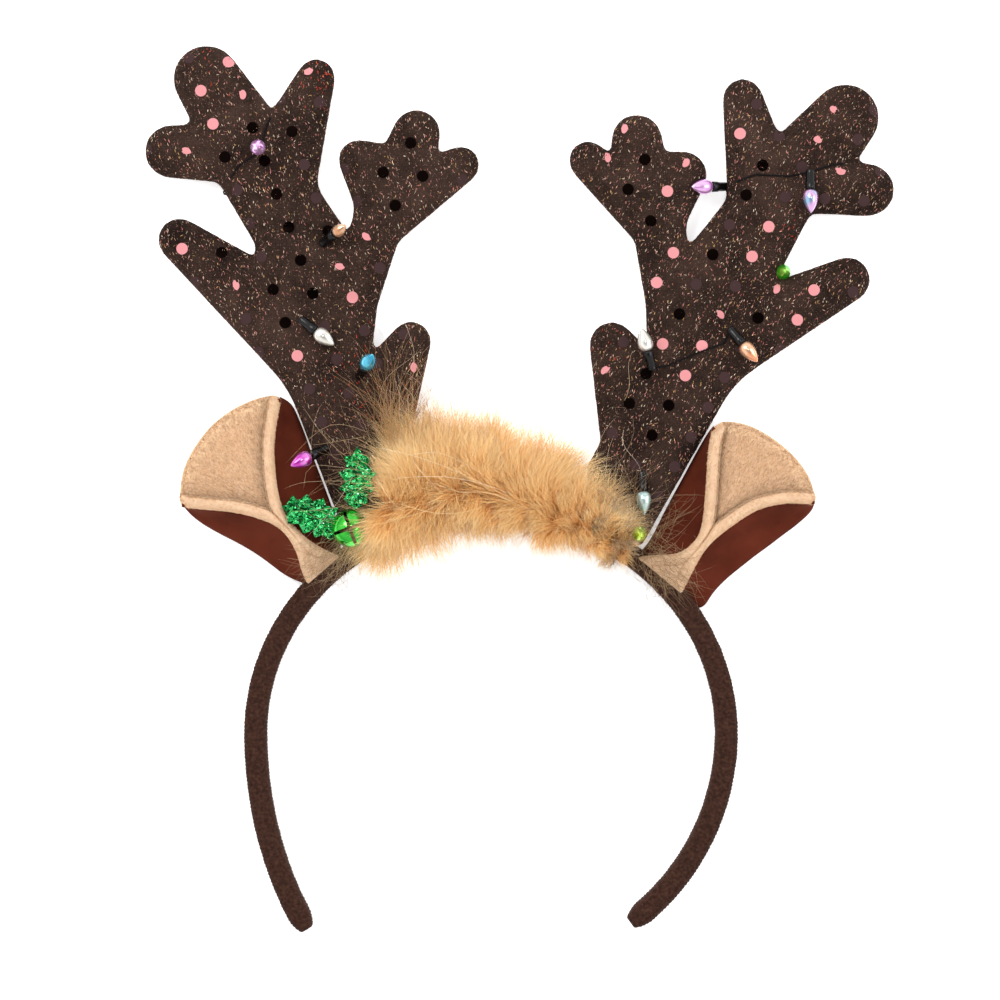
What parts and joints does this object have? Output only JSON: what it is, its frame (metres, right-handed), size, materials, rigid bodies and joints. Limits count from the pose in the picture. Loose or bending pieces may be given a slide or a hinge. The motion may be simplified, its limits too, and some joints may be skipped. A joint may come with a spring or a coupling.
{
  "type": "reindeer antler headband",
  "caption": "Fabric-wrapped hair band with padded antlers, folded ears, a fur trim, holly leaves, a jingle bell and small coloured lights on black cord.",
  "frame": {"origin": "middle of the band's crown, on the flat back that the headband lies on", "axes": "+Y from the band's open ends up to the antlers' tips, +X to the right as seen from the front, +Z out of the front"},
  "size_m": [0.2093, 0.2479, 0.0279],
  "materials": {
    "brown_knit": "brushed knit, wound round the band",
    "antler_fabric": "dark plush shot with metallic thread and foil dots",
    "beige_velour": "short dense nap",
    "russet_suede": "smooth brushed cloth",
    "tan_fur": "long loose fur",
    "green_foil": "glittered foil",
    "green_metal": "polished metallic lacquer",
    "black_plastic": "semi-gloss",
    "bulb_lilac": "metallised",
    "bulb_copper": "metallised",
    "bulb_silver": "metallised",
    "bulb_blue": "metallised",
    "bulb_magenta": "metallised",
    "bulb_iridescent": "metallised",
    "bulb_green": "metallised",
    "bulb_peach": "metallised",
    "bulb_aqua": "metallised",
    "bulb_lime": "metallised"
  },
  "bodies": {
    "root": {"headband": "brown_knit", "antler_left": "antler_fabric", "antler_right": "antler_fabric", "ear_left_lining": "beige_velour", "ear_left_back": "russet_suede", "ear_right_lining": "beige_velour", "ear_right_back": "russet_suede", "fur_trim": "tan_fur", "holly_leaf_1": "green_foil", "holly_leaf_2": "green_foil", "jingle_bell": "green_metal", "light_string_left": "black_plastic", "light_string_right": "black_plastic", "socket_left_1": "black_plastic", "socket_left_2": "black_plastic", "socket_left_3": "black_plastic", "socket_left_4": "black_plastic", "socket_left_5": "black_plastic", "socket_right_6": "black_plastic", "socket_right_7": "black_plastic", "socket_right_8": "black_plastic", "socket_right_9": "black_plastic", "socket_right_10": "black_plastic", "socket_right_11": "black_plastic", "socket_right_12": "black_plastic", "bulb_left_1": "bulb_lilac", "bulb_left_2": "bulb_copper", "bulb_left_3": "bulb_silver", "bulb_left_4": "bulb_blue", "bulb_left_5": "bulb_magenta", "bulb_right_6": "bulb_lilac", "bulb_right_7": "bulb_iridescent", "bulb_right_8": "bulb_green", "bulb_right_9": "bulb_silver", "bulb_right_10": "bulb_peach", "bulb_right_11": "bulb_aqua", "bulb_right_12": "bulb_lime"}
  },
  "joints": []
}
